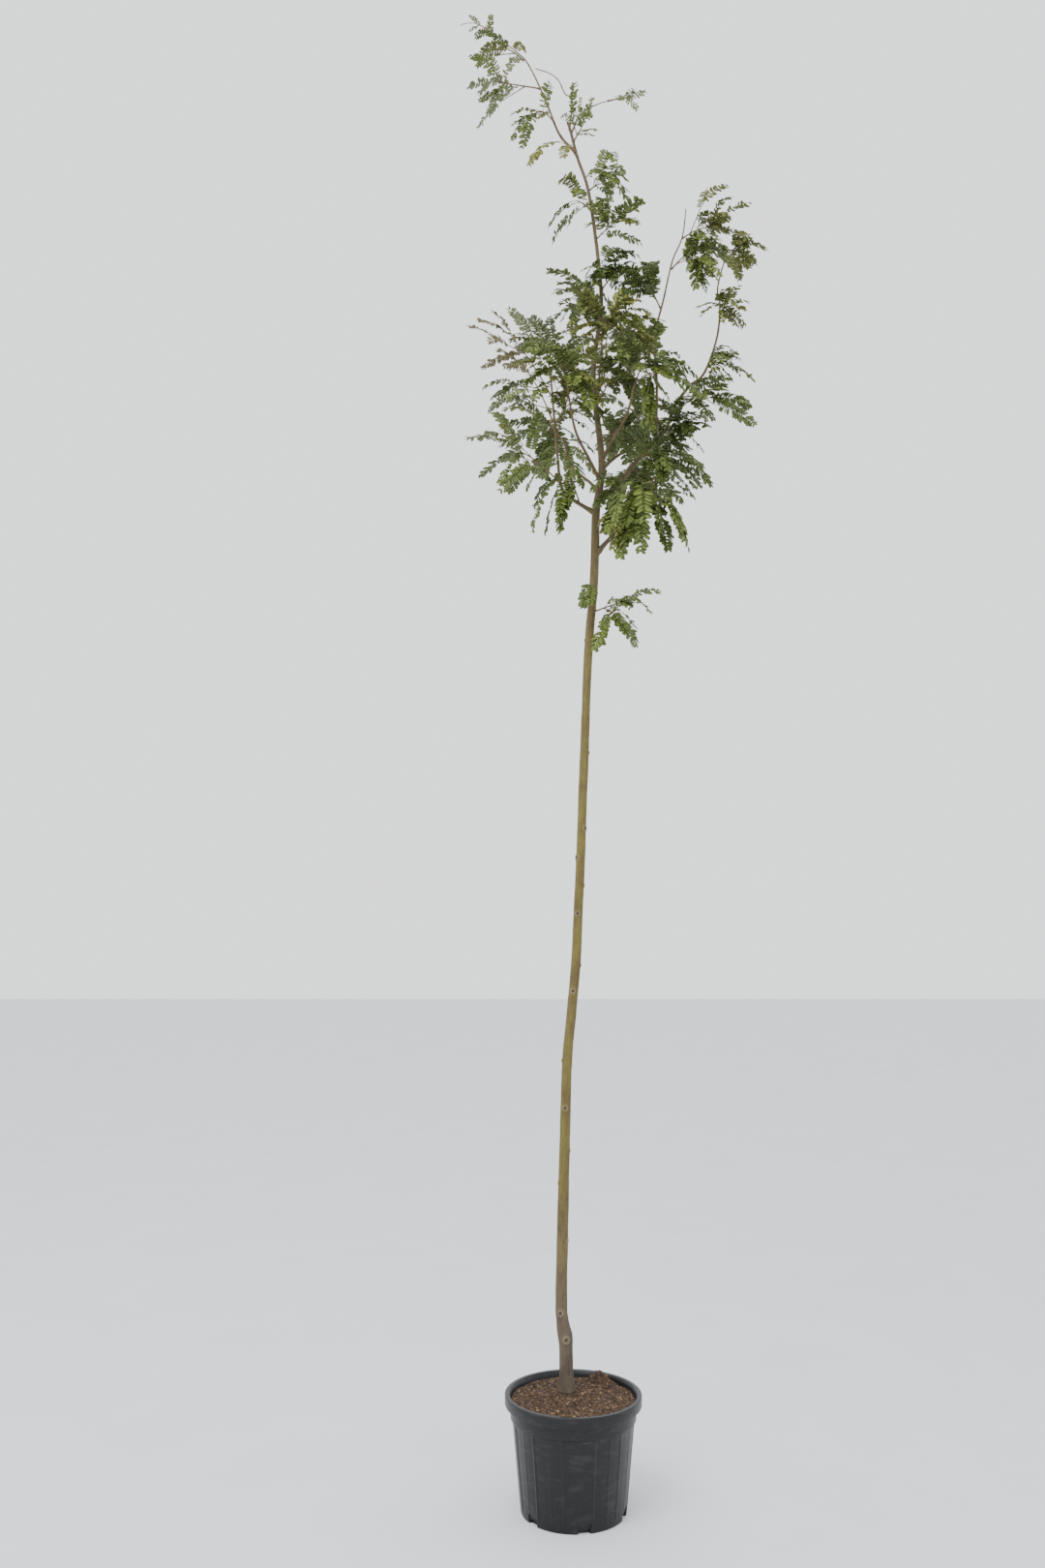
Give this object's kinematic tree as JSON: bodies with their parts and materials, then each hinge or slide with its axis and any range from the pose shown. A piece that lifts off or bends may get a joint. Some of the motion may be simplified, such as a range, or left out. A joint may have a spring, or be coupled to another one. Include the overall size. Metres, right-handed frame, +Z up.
{
  "type": "potted tree",
  "caption": "Young honey locust with one slender trunk, spreading boughs and feathered leaves, standing in a round nursery pot.",
  "frame": {"origin": "middle of the pot's flat underside", "axes": "+Z up along the tree, +X to the right in the front view, +Y away from the front"},
  "size_m": [0.9183, 0.8183, 4.3092],
  "materials": {
    "pot": "black moulded plastic, slightly satin",
    "soil": "loose brown potting mix with bark chips",
    "bark": "smooth olive-grey bark with pruning scars",
    "leaf": "matte green leaves"
  },
  "bodies": {
    "root": {"pot": "pot", "soil": "soil", "trunk": "bark", "bough_low_right": "bark", "bough_left": "bark", "bough_right": "bark", "bough_right_shoot": "bark", "bough_upright": "bark", "bough_top_arch": "bark", "bough_top_arc": "bark", "bough_top_right": "bark", "bough_front_left": "bark", "bough_front_right": "bark", "bough_back_left": "bark", "bough_back_right": "bark", "bough_back_high": "bark", "bough_front_high": "bark", "leaves_top_tip": "leaf", "leaves_top_crest": "leaf", "leaves_top_left": "leaf", "leaves_top_mid": "leaf", "leaves_top_right": "leaf", "leaves_top_cluster": "leaf", "leaves_arch": "leaf", "leaves_leader_high": "leaf", "leaves_leader_left": "leaf", "leaves_leader_right": "leaf", "leaves_leader_mid": "leaf", "leaves_leader_front": "leaf", "leaves_left_top": "leaf", "leaves_left_far": "leaf", "leaves_left_mid": "leaf", "leaves_left_low": "leaf", "leaves_left_hang": "leaf", "leaves_left_inner": "leaf", "leaves_stem_right": "leaf", "leaves_stem_low": "leaf", "leaves_upright_low": "leaf", "leaves_upright_mid": "leaf", "leaves_upright_high": "leaf", "leaves_upright_tip": "leaf", "leaves_shoot_top": "leaf", "leaves_shoot_mid": "leaf", "leaves_shoot_low": "leaf", "leaves_right_tip": "leaf", "leaves_right_mid": "leaf", "leaves_right_low": "leaf", "leaves_right_inner": "leaf", "leaves_low_hang": "leaf", "leaves_low_out": "leaf", "leaves_low_inner": "leaf", "leaves_low_twig": "leaf", "leaves_low_front": "leaf", "leaves_front_left": "leaf", "leaves_front_right": "leaf", "leaves_back_left": "leaf", "leaves_back_right": "leaf", "leaves_back_high": "leaf", "leaves_front_high": "leaf"}
  },
  "joints": []
}
